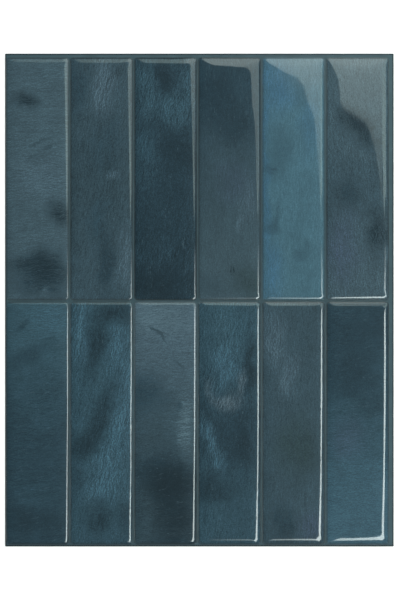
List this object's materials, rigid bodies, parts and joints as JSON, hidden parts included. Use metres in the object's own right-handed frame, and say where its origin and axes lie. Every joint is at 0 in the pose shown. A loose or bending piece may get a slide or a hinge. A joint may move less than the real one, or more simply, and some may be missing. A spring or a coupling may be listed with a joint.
{
  "type": "peel and stick backsplash tile sheet",
  "caption": "Thin self-adhesive wall sheet with slim domed glossy resin tiles stacked in straight rows, on a grout-coloured film with a peel-off liner.",
  "frame": {"origin": "centre of the sheet's outline, on the underside of the release liner", "axes": "+X to the right of the face, +Y to its top edge along the tiles, +Z out of the glazed face"},
  "size_m": [0.2292, 0.2906, 0.0017],
  "materials": {
    "grout_film": "satin film printed in a dark blue-grey grout colour",
    "liner_paper": "plain siliconed paper",
    "slate_blue_glaze": "clear glossy resin domed over a print of brushed, clouded glaze",
    "slate_grey_glaze": "clear glossy resin domed over a print of brushed, clouded glaze",
    "deep_navy_glaze": "clear glossy resin domed over a print of brushed, clouded glaze",
    "steel_blue_glaze": "clear glossy resin domed over a print of brushed, clouded glaze",
    "teal_glaze": "clear glossy resin domed over a print of brushed, clouded glaze"
  },
  "bodies": {
    "root": {"backing_sheet": "grout_film", "release_liner": "liner_paper", "tile_row1_column1": "slate_blue_glaze", "tile_row1_column2": "slate_grey_glaze", "tile_row1_column3": "deep_navy_glaze", "tile_row1_column4": "slate_grey_glaze", "tile_row1_column5": "steel_blue_glaze", "tile_row1_column6": "slate_grey_glaze", "tile_row2_column1": "deep_navy_glaze", "tile_row2_column2": "teal_glaze", "tile_row2_column3": "slate_blue_glaze", "tile_row2_column4": "teal_glaze", "tile_row2_column5": "slate_blue_glaze", "tile_row2_column6": "teal_glaze"}
  },
  "joints": []
}
